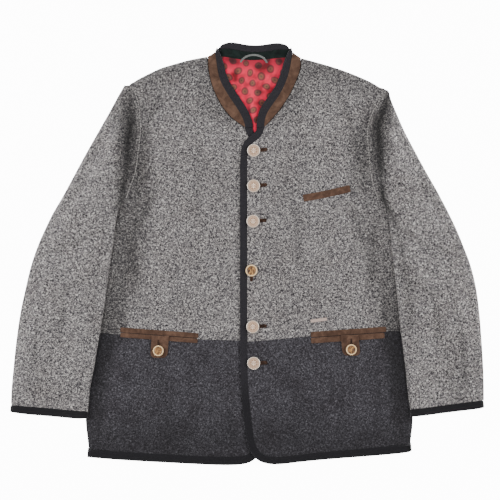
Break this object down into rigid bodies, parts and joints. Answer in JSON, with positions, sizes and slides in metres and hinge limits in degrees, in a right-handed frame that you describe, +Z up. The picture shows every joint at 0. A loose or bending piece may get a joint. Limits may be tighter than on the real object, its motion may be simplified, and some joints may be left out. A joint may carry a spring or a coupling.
{
  "type": "trachten cardigan",
  "caption": "Boiled wool cardigan jacket laid flat and buttoned, with stand collar, bound edges, set-in sleeves, welt pockets with button tabs and a breast pocket.",
  "frame": {"origin": "on the surface that carries the garment, under the middle of its outline", "axes": "+X to the viewer's right across the garment, +Y from the hem to the collar, +Z up, out of the front"},
  "size_m": [0.8763, 0.78, 0.0172],
  "materials": {
    "grey_wool": "boiled wool, light grey melange, matt",
    "dark_wool": "boiled wool, anthracite melange, matt",
    "braid": "ribbed wool braid, matt",
    "suede": "brown suede, matt nap",
    "felt": "dark wool felt, matt",
    "satin": "red jacquard satin with small roundels",
    "ribbon": "folded grey satin ribbon",
    "antique_silver": "cast and antiqued, satin",
    "horn": "brown horn look with a pale rim, polished",
    "bare_metal": "bare, satin"
  },
  "bodies": {
    "root": {"back_lower": "dark_wool", "back_upper": "grey_wool", "braid_back_hem": "braid", "braid_collar": "braid", "braid_cuff_left": "braid", "braid_cuff_right": "braid", "braid_front_left": "braid", "braid_front_right": "braid", "buttonhole_1": "suede", "buttonhole_2": "suede", "buttonhole_3": "suede", "buttonhole_4": "suede", "buttonhole_5": "suede", "buttonhole_6": "suede", "buttonhole_tab_left": "suede", "buttonhole_tab_right": "suede", "collar_felt": "felt", "collar_suede": "suede", "front_button_1": "antique_silver", "front_button_2": "antique_silver", "front_button_3": "antique_silver", "front_button_4": "horn", "front_button_5": "antique_silver", "front_button_6": "antique_silver", "front_left_lower": "dark_wool", "front_left_upper": "grey_wool", "front_right_lower": "dark_wool", "front_right_upper": "grey_wool", "hanger_loop": "ribbon", "metal_bar": "bare_metal", "neck_lining": "satin", "pocket_button_left": "horn", "pocket_button_right": "horn", "sleeve_left_top": "grey_wool", "sleeve_left_under": "grey_wool", "sleeve_right_top": "grey_wool", "sleeve_right_under": "grey_wool", "tab_left": "suede", "tab_right": "suede", "welt_breast": "suede", "welt_left_lower": "suede", "welt_left_upper": "suede", "welt_right_lower": "suede", "welt_right_upper": "suede"}
  },
  "joints": []
}
